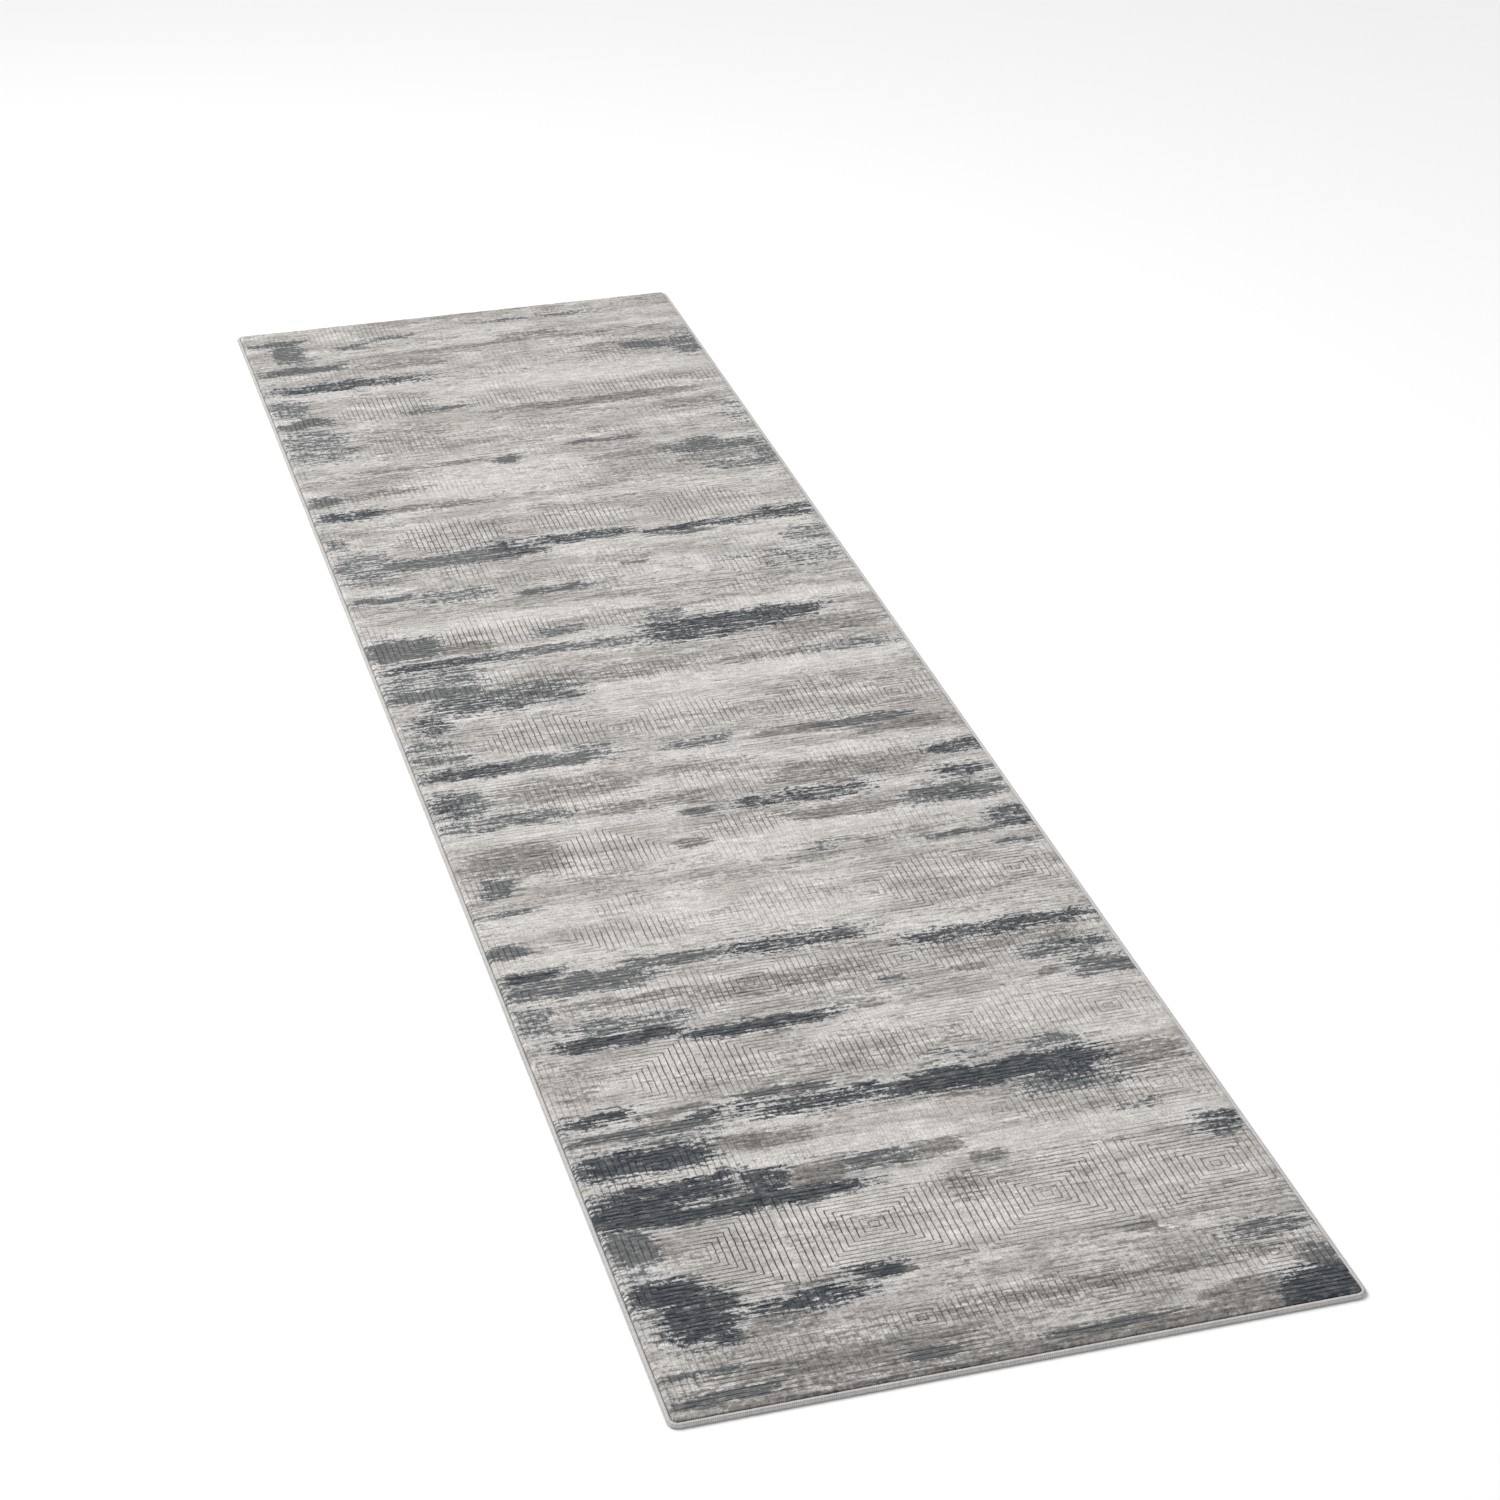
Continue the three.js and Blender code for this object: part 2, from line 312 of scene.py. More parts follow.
# How the yarns spill over into each other at the edges of a streak.
yarnSpill = {
    "pastNavy": 0.007,  # metres
    "pastSlate": 0.008,
    "slateGain": 1.07,
    "slateByNavy": 0.62,
    "taupeByNavy": 0.60,
    "taupeBySlate": 0.55,
    "slateInTaupe": (0.74, -0.12),  # gain and offset
    "taupeGain": 1.22,
    "taupeInBase": (0.235, 0.04),
    "plainCut": 0.16,
    "broadBands": (0.220, 0.030, 31),
    "fineBands": (0.080, 0.014, 32),
    "fineShare": 0.6,
}


def yarnFields(x, y):
    # Darker yarns are bordered by scattered tufts of the next lighter one.
    spill = yarnSpill
    fields = {kind: streakField(rows, x, y) for kind, rows in streaks.items()}
    nearNavy = streakField(streaks["navy"], x, y, spill["pastNavy"])
    nearSlate = streakField(streaks["slate"], x, y, spill["pastSlate"])
    slate = np.maximum(spill["slateGain"] * fields["slate"], spill["slateByNavy"] * nearNavy)
    taupe = np.maximum(fields["taupe"], spill["taupeBySlate"] * nearSlate)
    taupe = np.maximum(taupe, spill["taupeByNavy"] * nearNavy)
    gain, offset = spill["slateInTaupe"]
    fields["slate"] = np.maximum(slate, gain * taupe + offset)
    bands = softNoise(x, y, *spill["broadBands"]) + spill["fineShare"] * softNoise(x, y, *spill["fineBands"])
    gain, offset = spill["taupeInBase"]
    taupe = spill["taupeGain"] * np.maximum(taupe, gain * bands + offset)
    fields["taupe"] = taupe - spill["plainCut"] * fields["plain"]
    return fields


# Carving: nested rectangles cut between the ridges of the high pile, in blocks across and along the rug.
# A ridge pitch is one 25th of a block's side, and lengths that aren't in pitches are in metres.
carving = {
    "blockAcross": 0.2054,
    "blockAlong": 0.1673,
    "firstBlock": -0.0023,  # left side of the first block, from the rug's left edge
    "lastBlock": 0.0085,  # near side of the last whole block, from the rug's near edge
    "ringsAcrossBlock": 25,  # ridge pitches from one side of a block to the other
    "rings": 12,
    "rim": 0.77,  # block side to outermost groove, in ridge pitches
    "groove": 0.14,  # width of a groove, in ridge pitches
    "shoulder": 0.06,  # its slope, at each side
    "brow": 0.06,  # the flat strip that keeps a ridge level up to its shoulder
    "shoulderDepth": 0.6,  # at the foot of the slope, as a share of the groove's depth
    "depth": 0.0026,
    "uneven": 0.0008,  # height of the unevenness of the tufts
    "unevenNoise": (0.009, 0.007, 21),
    "unevenLevel": 0.6,  # the noise value that leaves a tuft at its height
    "waver": 0.0009,  # how far the ridges wander sideways
    "waverNoises": ((0.0065, 0.0055, 22), (0.0055, 0.0065, 23)),
    "stillWithin": (0.0035, 0.010),  # from the pile's edge, where that wandering starts and is full
    "edgeDrop": 0.0022,  # how far the pile falls at its edge
    "edgeWidth": 0.0034,
    "edgeRows": (0.0012, 0.0030),  # extra cuts along the edge, for that fall
    "plainRise": 0.0006,
    "darkSink": 0.0005,
    "darkShown": 0.80,  # how much of the carving shows in the dark streaks
    "worn": 0.12,  # how much of it still shows outside the crisp zones
    "patches": 0.30,  # and how much more in patches
    "patchNoise": (0.090, 0.028, 11),
    "patchRange": (0.45, 0.75),
    "wearNoise": (0.018, 0.012, 12),
    "wearRange": (0.2, 0.5),
    "crispWear": (0.88, 0.27),  # how much of a crisp zone's carving is always left, and how much at most more
    "crisp": [  # (left, right, start, end, strength), as in the streaks
        (0.120, 0.290, 0.000, 0.080, 0.45), (0.560, 0.690, 0.220, 0.280, 0.45),
        (0.120, 0.290, 0.320, 0.412, 0.75), (0.336, 0.500, 0.365, 0.412, 0.60),
        (0.535, 0.780, 0.360, 0.412, 0.80), (0.120, 0.280, 0.470, 0.560, 0.50),
        (0.020, 0.280, 0.684, 0.724, 0.45), (0.600, 0.720, 0.660, 0.740, 0.40),
        (0.124, 0.300, 0.830, 0.940, 0.85), (0.336, 0.504, 0.830, 0.910, 0.85),
        (0.530, 0.710, 0.810, 0.930, 0.85), (0.165, 0.240, 0.970, 1.040, 0.60),
        (0.220, 0.480, 1.035, 1.100, 0.50), (0.560, 0.680, 1.060, 1.190, 0.60),
        (0.116, 0.300, 1.195, 1.255, 0.90), (0.330, 0.420, 1.200, 1.250, 0.60),
        (0.580, 0.660, 1.270, 1.340, 0.55), (0.130, 0.300, 1.340, 1.430, 0.60),
        (0.310, 0.520, 1.374, 1.420, 0.55), (0.530, 0.710, 1.340, 1.420, 0.60),
        (0.120, 0.300, 1.490, 1.580, 0.85), (0.320, 0.504, 1.500, 1.580, 0.70),
        (0.520, 0.790, 1.485, 1.605, 0.85), (0.120, 0.280, 1.660, 1.780, 0.50),
        (0.340, 0.480, 1.670, 1.800, 0.50), (0.500, 0.710, 1.690, 1.790, 0.50),
        (0.120, 0.290, 1.810, 1.910, 0.85), (0.340, 0.470, 1.824, 1.880, 0.70),
        (0.160, 0.240, 1.970, 2.020, 0.60), (0.116, 0.260, 2.042, 2.100, 0.80),
        (0.350, 0.470, 2.004, 2.080, 0.50), (0.530, 0.785, 1.996, 2.116, 0.85),
        (0.140, 0.690, 2.180, 2.280, 0.65), (0.120, 0.290, 2.305, 2.425, 1.00),
        (0.336, 0.490, 2.370, 2.440, 0.80), (0.500, 0.780, 2.350, 2.430, 0.60),
        (0.520, 0.760, 2.500, 2.600, 0.60), (0.020, 0.200, 2.540, 2.680, 0.60),
        (0.110, 0.300, 2.655, 2.815, 1.15), (0.300, 0.510, 2.670, 2.795, 1.05),
        (0.500, 0.790, 2.650, 2.800, 1.00), (0.260, 0.580, 2.865, 2.915, 0.65),
        (0.640, 0.790, 2.840, 2.940, 0.55),
    ],
}


def carvedBlock():
    # One block, drawn square with a ridge pitch of 1. It is inset ring by ring, then cut across the ridges.
    half = carving["ringsAcrossBlock"] / 2
    groove = carving["groove"] / 2
    shoulder, brow = carving["shoulder"], carving["brow"]
    bm = bmesh.new()
    bmesh.ops.create_grid(bm, x_segments=1, y_segments=1, size=half)
    middle = bm.faces[:]
    steps = [carving["rim"] - groove - shoulder - brow]
    ridge = 1 - 2 * (groove + shoulder + brow)
    steps += [brow, shoulder, groove, groove, shoulder, brow, ridge] * carving["rings"]
    for thickness in steps[:-1]:
        bmesh.ops.inset_individual(bm, faces=middle, thickness=thickness, use_even_offset=True)
    cuts = [half - carving["rim"] - ring for ring in range(carving["rings"])]
    for axis in (0, 1):
        normal = Vector((1 - axis, axis, 0))
        for place in [0] + cuts + [-cut for cut in cuts]:
            middles = [(f, f.calc_center_median()) for f in bm.faces]
            sides = [f for f, middle in middles if abs(middle[1 - axis]) > abs(middle[axis])]
            edges = list(dict.fromkeys(e for f in sides for e in f.edges))
            corners = list(dict.fromkeys(v for e in edges for v in e.verts))
            bmesh.ops.bisect_plane(bm, geom=sides + edges + corners, dist=1e-4,
                                   plane_co=normal * place, plane_no=normal)
    return bm


def cutAcross(bm, place, normal, clear=False):
    bmesh.ops.bisect_plane(bm, geom=bm.verts[:] + bm.edges[:] + bm.faces[:], dist=1e-5,
                           plane_co=place, plane_no=normal, clear_outer=clear)


def pileColumn(block, left):
    # One column of blocks down the rug, trimmed to the rug's outline and to its own width.
    pitchX = carving["blockAcross"] / carving["ringsAcrossBlock"]
    pitchY = carving["blockAlong"] / carving["ringsAcrossBlock"]
    bm = block.copy()
    bmesh.ops.scale(bm, vec=(pitchX, pitchY, 1), verts=bm.verts[:])
    firstY = rugLow[1] + carving["lastBlock"] - carving["blockAlong"] / 2
    bmesh.ops.translate(bm, vec=(left + carving["blockAcross"] / 2, firstY, 0), verts=bm.verts[:])
    source = bm.verts[:] + bm.edges[:] + bm.faces[:]
    for row in range(1, math.ceil(rugLength / carving["blockAlong"]) + 2):
        made = bmesh.ops.duplicate(bm, geom=source)["geom"]
        copied = [g for g in made if isinstance(g, bmesh.types.BMVert)]
        bmesh.ops.translate(bm, vec=(0, row * carving["blockAlong"], 0), verts=copied)
    bmesh.ops.remove_doubles(bm, verts=bm.verts[:], dist=1e-5)
    for side, limit in ((Vector((-1, 0, 0)), -pileLow[0]), (Vector((1, 0, 0)), pileHigh[0]),
                        (Vector((0, -1, 0)), -pileLow[1]), (Vector((0, 1, 0)), pileHigh[1])):
        cutAcross(bm, side * limit, side, clear=True)
        for inside in carving["edgeRows"]:
            cutAcross(bm, side * (limit - inside), side)
    pullIntoCorner(bm, pileHigh[0], pileHigh[1], pileCorner)
    return bm


def grooveAt(x, y):
    # Depth of the carving, from 0 on a ridge to 1 in a groove.
    pitchX = carving["blockAcross"] / carving["ringsAcrossBlock"]
    pitchY = carving["blockAlong"] / carving["ringsAcrossBlock"]
    blockX = (x - rugLow[0] - carving["firstBlock"]) % carving["blockAcross"] - carving["blockAcross"] / 2
    blockY = (y - rugLow[1] - carving["lastBlock"]) % carving["blockAlong"] - carving["blockAlong"] / 2
    out = np.maximum(np.abs(blockX) / pitchX, np.abs(blockY) / pitchY)
    ring = carving["ringsAcrossBlock"] / 2 - carving["rim"] - out
    toGroove = np.abs(ring - np.round(ring))
    toGroove = np.where(ring < -0.5, 1, toGroove)  # the rim between blocks has no groove
    toGroove = np.where(ring > carving["rings"] - 0.5, 1, toGroove)
    half = carving["groove"] / 2
    return np.interp(toGroove, [0, half, half + carving["shoulder"]], [1, carving["shoulderDepth"], 0])


def shapePile(mesh):
    points = places(mesh)
    top = points[:, 2] > -0.5
    x, y = points[:, 0], points[:, 1]
    fields = yarnFields(x, y)
    patchy = smoothStep(*carving["patchRange"], softNoise(x, y, *carving["patchNoise"]))
    spared = smoothStep(*carving["wearRange"], softNoise(x, y, *carving["wearNoise"]))
    least, more = carving["crispWear"]
    crisp = streakField(carving["crisp"], x, y) * (least + more * spared)
    dark = np.maximum(fields["navy"], fields["slate"])
    faint = carving["worn"] + carving["patches"] * patchy
    groove = grooveAt(x, y) * np.maximum.reduce([crisp, carving["darkShown"] * dark, faint])
    edge = np.minimum(pileHigh[0] - np.abs(x), pileHigh[1] - np.abs(y))
    z = pileTop - carving["depth"] * groove
    z += carving["uneven"] * (softNoise(x, y, *carving["unevenNoise"]) - carving["unevenLevel"])
    z += carving["plainRise"] * fields["plain"] - carving["darkSink"] * dark
    z -= carving["edgeDrop"] * (1 - smoothStep(0, carving["edgeWidth"], edge))
    points[:, 2] = np.where(top, z, pileFoot)
    inside = smoothStep(*carving["stillWithin"], edge) * carving["waver"]
    for axis, noise in enumerate(carving["waverNoises"]):
        points[:, axis] += inside * (softNoise(x, y, *noise) - 0.5)
    setPlaces(mesh, points)
    addField(mesh, "groove", groove * top)
    for kind in streaks:
        addField(mesh, kind, fields[kind])


def bakeMapPile(mesh, left):
    # The column is laid out in four lengths side by side. Its hidden walls and foot go in a narrow strip.
    lengths = 4
    span = rugLength / lengths
    wide = carving["blockAcross"]
    corners, start, count = loopPlaces(mesh)
    at = places(mesh)[corners]
    face = np.repeat(np.arange(len(start)), count)
    middleY = np.add.reduceat(at[:, 1], start) / count
    lowest = np.minimum.reduceat(at[:, 2], start)
    part = np.clip(((middleY - rugLow[1]) / span).astype(int), 0, lengths - 1)[face]
    u = (part + 0.01 + 0.98 * (at[:, 0] - left) / wide) / lengths
    v = 0.02 + 0.92 * (at[:, 1] - rugLow[1] - part * span) / span
    hidden = lowest[face] < pileFoot + 1e-5
    u = np.where(hidden, 0.01 + 0.98 * (at[:, 1] - rugLow[1]) / rugLength, u)
    v = np.where(hidden, 0.97 + 0.02 * (at[:, 0] - left) / wide + 0.5 * (at[:, 2] - pileFoot), v)
    addBakeMap(mesh, u, v)


def makePile(material):
    block = carvedBlock()
    pieces = []
    left = rugLow[0] + carving["firstBlock"]
    column = 0
    while left < pileHigh[0]:
        column += 1
        bm = pileColumn(block, left)
        rim = [e for e in bm.edges if e.is_boundary]
        closeSheet(bm, rim, -1)  # shapePile brings the foot and the top to their heights
        for face in bm.faces:
            face.smooth = all(v.co.z > -0.5 for v in face.verts)
        for edge in rim:
            edge.smooth = False
        pile = newObject(f"carved_pile_{column}", bm)
        shapePile(pile.data)
        bakeMapPile(pile.data, left)
        pile.data.materials.append(material)
        pieces.append(pile)
        left += carving["blockAcross"]
        print("pile column", column, len(pile.data.polygons), "faces")
    block.free()
    return pieces


# Overlock: yarn wound round the rug's edge, one turn beside the next.
overlock = {
    "width": 0.0056,
    "height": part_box("overlock_left")[1][2],
    "turnPitch": 0.0023,
    "ribDepth": 0.00045,
    "ribFullness": 0.7,  # smaller is fuller
    "seed": 7,
    "uneven": 0.00024,  # how much one turn stands out from the next
    "stepsPerTurn": 3,
    "around": 22,
    "squareness": 2.8,  # 2 is an oval section, and more is nearer a rectangle
    "creaseAt": 128,  # degrees up from the inner side
    "creaseWidth": 9,  # degrees
    "creaseDepth": 0.00055,
    "bakeRows": {"left": 10, "right": 10, "near": 5, "far": 5},
}


def makeOverlock(side, material):
    # One side of the rug, with half of the corner at each end. It is made facing +X, then turned to its side.
    turnTo = {"right": 0, "far": 90, "left": 180, "near": 270}[side]
    halfAcross, halfAlong = rugHigh[0], rugHigh[1]
    if side in ("near", "far"):
        halfAcross, halfAlong = halfAlong, halfAcross
    arc = rugCorner * math.pi / 4
    straight = 2 * (halfAlong - rugCorner)
    total = straight + 2 * arc
    turns = round(total / overlock["turnPitch"])
    along = turns * overlock["stepsPerTurn"]
    around = overlock["around"]
    bm = bmesh.new()
    bmesh.ops.create_grid(bm, x_segments=along, y_segments=around, size=0.5)
    wrap = newObject(f"overlock_yarn_{side}", bm)
    mesh = wrap.data
    grid = places(mesh)
    s = (grid[:, 0] + 0.5) * total
    angle = (grid[:, 1] + 0.5) * 2 * math.pi
    turn = s / overlock["turnPitch"] + angle / (2 * math.pi)
    rib = np.abs(np.sin(math.pi * turn)) ** overlock["ribFullness"]
    stands = np.random.default_rng(overlock["seed"] + turnTo).random(turns + 3)[np.floor(turn).astype(int)]
    crease = np.exp(-((np.degrees(angle) - overlock["creaseAt"]) / overlock["creaseWidth"]) ** 2)
    shrink = overlock["ribDepth"] * (1 - rib) - overlock["uneven"] * (stands - 0.5)
    shrink += overlock["creaseDepth"] * crease
    # angle 0 is the inner side, 90 degrees the top and 180 the outer side
    power = 2 / overlock["squareness"]
    out = np.sign(np.cos(angle)) * np.abs(np.cos(angle)) ** power
    up = np.sign(np.sin(angle)) * np.abs(np.sin(angle)) ** power
    inward = overlock["width"] / 2 + (overlock["width"] / 2 - shrink) * out
    height = overlock["height"] / 2 + (overlock["height"] / 2 - shrink) * up
    bend = np.where(s < arc, (s - arc) / rugCorner, 0)
    bend = np.where(s > arc + straight, (s - arc - straight) / rugCorner, bend)
    runY = np.clip(s - arc, 0, straight) - straight / 2
    radius = rugCorner - inward
    x = halfAcross - rugCorner + radius * np.cos(bend)
    y = runY + radius * np.sin(bend)
    turned = math.radians(turnTo)
    points = np.stack([x * math.cos(turned) - y * math.sin(turned),
                       x * math.sin(turned) + y * math.cos(turned), np.maximum(height, 0)], 1)
    setPlaces(mesh, points)
    addField(mesh, "turn", turn)
    addField(mesh, "crease", crease)
    bakeMapWrap(mesh, s / total, angle / (2 * math.pi), overlock["bakeRows"][side])
    bm = bmesh.new()
    bm.from_mesh(mesh)
    bmesh.ops.remove_doubles(bm, verts=bm.verts[:], dist=1e-6)
    bmesh.ops.holes_fill(bm, edges=[e for e in bm.edges if e.is_boundary], sides=around + 2)
    bmesh.ops.recalc_face_normals(bm, faces=bm.faces[:])
    for face in bm.faces:
        face.smooth = len(face.verts) <= 4
    bm.to_mesh(mesh)
    bm.free()
    mesh.materials.append(material)
    print("overlock", side, len(mesh.polygons), "faces")
    return wrap


def bakeMapWrap(mesh, alongPart, aroundPart, rows):
    # The wrap is cut into rows that lie above each other on the map.
    corners, start, count = loopPlaces(mesh)
    middle = np.add.reduceat(alongPart[corners], start) / count
    row = np.repeat(np.clip((middle * rows).astype(int), 0, rows - 1), count)
    u = 0.01 + 0.98 * (alongPart[corners] * rows - row)
    v = (row + 0.04 + 0.92 * aroundPart[corners]) / rows
    addBakeMap(mesh, u, v)


# Back: the ground cloth seen from below, its wefts showing as ribs through the latex.
back = {"ribPitch": 0.0032, "ribDepth": 0.00035, "stepsPerRib": 4, "across": 12}


def makeBack(material):
    low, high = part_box("latex_back")
    ribs = round((high[1] - low[1]) / back["ribPitch"])
    bm = bmesh.new()
    bmesh.ops.create_grid(bm, x_segments=back["across"], y_segments=ribs * back["stepsPerRib"], size=1)
    bmesh.ops.scale(bm, vec=(high[0], high[1], 1), verts=bm.verts[:])
    pullIntoCorner(bm, high[0], high[1], pileCorner)
    for face in bm.faces:
        face.smooth = True
    closeSheet(bm, [e for e in bm.edges if e.is_boundary], high[2])
    cloth = newObject("woven_back", bm)
    mesh = cloth.data
    points = places(mesh)
    under = points[:, 2] < high[2] / 2
    rib = np.abs(np.cos(math.pi * (points[:, 1] - low[1]) / (high[1] - low[1]) * ribs))
    points[:, 2] = np.where(under, back["ribDepth"] * (1 - rib), high[2])
    setPlaces(mesh, points)
    mesh.materials.append(material)
    print("back", len(mesh.polygons), "faces")
    return cloth


# Materials.
yarns = {
    "cream": (0.562, 0.541, 0.519),
    "greige": (0.386, 0.366, 0.347),
    "blush": (0.420, 0.374, 0.348),
    "ice": (0.530, 0.540, 0.545),
    "taupe": (0.182, 0.169, 0.155),
    "charcoal": (0.078, 0.077, 0.072),
    "slate": (0.066, 0.083, 0.096),
    "navy": (0.018, 0.026, 0.041),
    "overlockLight": (0.620, 0.605, 0.590),
    "overlockDark": (0.450, 0.437, 0.428),
    "jute": (0.440, 0.375, 0.270),
    "cotton": (0.640, 0.600, 0.530),
    "latex": (0.560, 0.520, 0.440),
}


def addNode(tree, kind, settings=None, **inputs):
    node = tree.nodes.new(kind)
    for name, value in (settings or {}).items():
        setattr(node, name, value)
    for name, value in inputs.items():
        socket = node.inputs[int(name[1:])] if name[0] == "i" and name[1:].isdigit() else node.inputs[name]
        if isinstance(value, bpy.types.NodeSocket):
            tree.links.new(value, socket)
        else:
            socket.default_value = value
    return node


def mathNode(tree, operation, first, second=0.0, third=0.0, clamp=False):
    settings = {"operation": operation, "use_clamp": clamp}
    return addNode(tree, "ShaderNodeMath", settings, i0=first, i1=second, i2=third).outputs[0]


def mixColour(tree, factor, first, second, blend="MIX"):
    node = addNode(tree, "ShaderNodeMix", {"data_type": "RGBA", "blend_type": blend})
    for socket, value in ((node.inputs[0], factor), (node.inputs[6], first), (node.inputs[7], second)):
        if isinstance(value, bpy.types.NodeSocket):
            tree.links.new(value, socket)
        elif isinstance(value, tuple):
            socket.default_value = (*value[:3], 1)
        else:
            socket.default_value = value
    return node.outputs[2]


def mapRange(tree, value, low, high, first=0.0, last=1.0, smooth=False):
    settings = {"interpolation_type": "SMOOTHSTEP" if smooth else "LINEAR"}
    inputs = {"i0": value, "i1": low, "i2": high, "i3": first, "i4": last}
    return addNode(tree, "ShaderNodeMapRange", settings, **inputs).outputs[0]


def weighted(tree, parts, offset=0.0):
    # The sum of values, each times its own weight.
    total = offset
    for value, weight in parts:
        total = mathNode(tree, "MULTIPLY_ADD", value, weight, total)
    return total


def dim(tree, colour, level):
    # A colour times a level that is the same for red, green and blue.
    grey = addNode(tree, "ShaderNodeCombineColor", i0=level, i1=level, i2=level).outputs[0]
    return mixColour(tree, 1.0, colour, grey, "MULTIPLY")


def newGroup(name, inputs, outputs):
    group = bpy.data.node_groups.new(name, "ShaderNodeTree")
    for socketName, kind in inputs:
        group.interface.new_socket(socketName, in_out="INPUT", socket_type=kind)
    for socketName, kind in outputs:
        group.interface.new_socket(socketName, in_out="OUTPUT", socket_type=kind)
    return group, group.nodes.new("NodeGroupInput").outputs, group.nodes.new("NodeGroupOutput").inputs


tufting = {
    "frizzScale": 900.0,
    "frizz": 0.0026,  # how far the outline of a tuft bends, in metres
    "randomness": 0.8,
    "settle": 0.6,  # 1 gives all of a tuft one place on the pattern
}


def tuftGroup():
    # Cut ends of the yarn. Place is nearly the same all over a tuft, Tone is its random number, and Dome is
    # its height.
    vector, number = "NodeSocketVector", "NodeSocketFloat"
    group, given, result = newGroup("tufts", [("Vector", vector), ("Per Metre", number)],
                                    [("Place", vector), ("Tone", number), ("Dome", number)])
    frizz = addNode(group, "ShaderNodeTexNoise", {"noise_dimensions": "2D"},
                    Vector=given["Vector"], Scale=tufting["frizzScale"], Detail=2.0)
    bent = addNode(group, "ShaderNodeVectorMath", {"operation": "MULTIPLY_ADD"},
                   i0=frizz.outputs["Color"], i1=(tufting["frizz"], tufting["frizz"], 0),
                   i2=given["Vector"]).outputs[0]
    cells = addNode(group, "ShaderNodeTexVoronoi", {"voronoi_dimensions": "2D"},
                    Vector=bent, Scale=given["Per Metre"], Randomness=tufting["randomness"])
    split = addNode(group, "ShaderNodeSeparateColor", i0=cells.outputs["Color"])
    settled = addNode(group, "ShaderNodeMix", {"data_type": "VECTOR"}, i0=tufting["settle"],
                      i4=given["Vector"], i5=cells.outputs["Position"])
    group.links.new(settled.outputs[1], result["Place"])
    group.links.new(split.outputs[1], result["Tone"])
    group.links.new(mathNode(group, "SUBTRACT", 1.0, cells.outputs["Distance"], clamp=True), result["Dome"])
    return group


yarnSpread = {
    "clumpWeight": 2.8,
    "chanceWeight": 0.16,
    "offset": -1.648,
    "shownFrom": (0.29, 0.55),
    "someFrom": (0.04, 0.20),
}


def yarnGroup():
    # Where a yarn shows: nearly all over at Amount 1, in ragged clumps at 0.5 and a few strays at 0.2.
    number = "NodeSocketFloat"
    inputs = [("Amount", number), ("Clump", number), ("Chance", number)]
    group, given, result = newGroup("yarn spread", inputs, [("Shown", number)])
    parts = [(given["Amount"], 1.0), (given["Clump"], yarnSpread["clumpWeight"]),
             (given["Chance"], yarnSpread["chanceWeight"])]
    total = weighted(group, parts, yarnSpread["offset"])
    shown = mapRange(group, total, *yarnSpread["shownFrom"], smooth=True)
    some = mapRange(group, given["Amount"], *yarnSpread["someFrom"])
    group.links.new(mathNode(group, "MULTIPLY", shown, some), result["Shown"])
    return group


def newMaterial(name):
    material = bpy.data.materials.new(name)
    material.use_nodes = True
    tree = material.node_tree
    return material, tree, tree.nodes["Principled BSDF"]


def stretched(tree, vector, across, along, detail=2.0, seed=0.0):
    # Noise whose blotches are about this wide and long, in metres.
    mapped = addNode(tree, "ShaderNodeMapping", Vector=vector, Location=(seed, seed * 1.7, 0),
                     Scale=(1 / across, 1 / along, 1))
    noise = addNode(tree, "ShaderNodeTexNoise", {"noise_dimensions": "2D"},
                    Vector=mapped.outputs[0], Scale=1.0, Detail=detail, Roughness=0.55)
    return noise.outputs[0]


def fieldNode(tree, name):
    return addNode(tree, "ShaderNodeAttribute", {"attribute_name": name}).outputs["Fac"]


# Cut pile. Each noise is (across, along, detail, seed), where across and along are its size in metres. Each
# ramp is (from, to, result at from, result at to).
cutPile = {
    "tuftsPerMetre": 450,
    "strands": (0.050, 0.0040, 3.0, 0.0),
    "teeth": (0.0080, 0.0058, 2.0, 1.9),
    "rows": (0.070, 0.0021, 2.0, 12.4),
    "strays": (0.016, 0.0030, 3.0, 15.1),
    "drift": (0.150, 0.030, 3.0, 5.3),
    "flush": (0.110, 0.055, 1.0, 9.1),
    "blend": (0.024, 0.0075, 2.0, 7.7),
    "fibre": (0.0011, 0.0009, 2.0, 3.7),
    "fluff": (0.004, 0.003, 2.0, 2.2),
    "taupeCover": 0.80,
    "slateCover": 0.86,
    "navyCover": 0.94,
    "clumpWeights": (0.50, 0.34, 0.28),  # strands, teeth, rows
    "toneWeights": (0.32, 0.42, 0.68, 0.62),  # tuft, fibre, blend, rows
    "greigeRamp": (0.36, 0.64, 0.0, 1.0),
    "blushRamp": (0.54, 0.70, 0.0, 0.5),
    "iceRamp": (0.05, 0.45, 0.0, 0.5),
    "plainRamp": (0.3, 0.9, 0.0, 0.7),
    "charcoalRamp": (0.42, 0.62, 0.0, 1.0),
    "charcoalMost": 0.75,
    "strayRamp": (0.50, 0.62, 0.0, 0.75),
    "slateInNavyRamp": (0.36, 0.60, 0.0, 0.6),
    "tuftGapShadeRamp": (0.34, 0.66, 0.80, 1.02),
    "grooveShade": -0.78,
    "roughness": (0.84, 1.0),
    "bumpStrength": 0.6,
    "bumpHeight": 0.0012,
    "sheen": 0.12,
    "sheenRoughness": 0.6,
    "specular": 0.15,
}


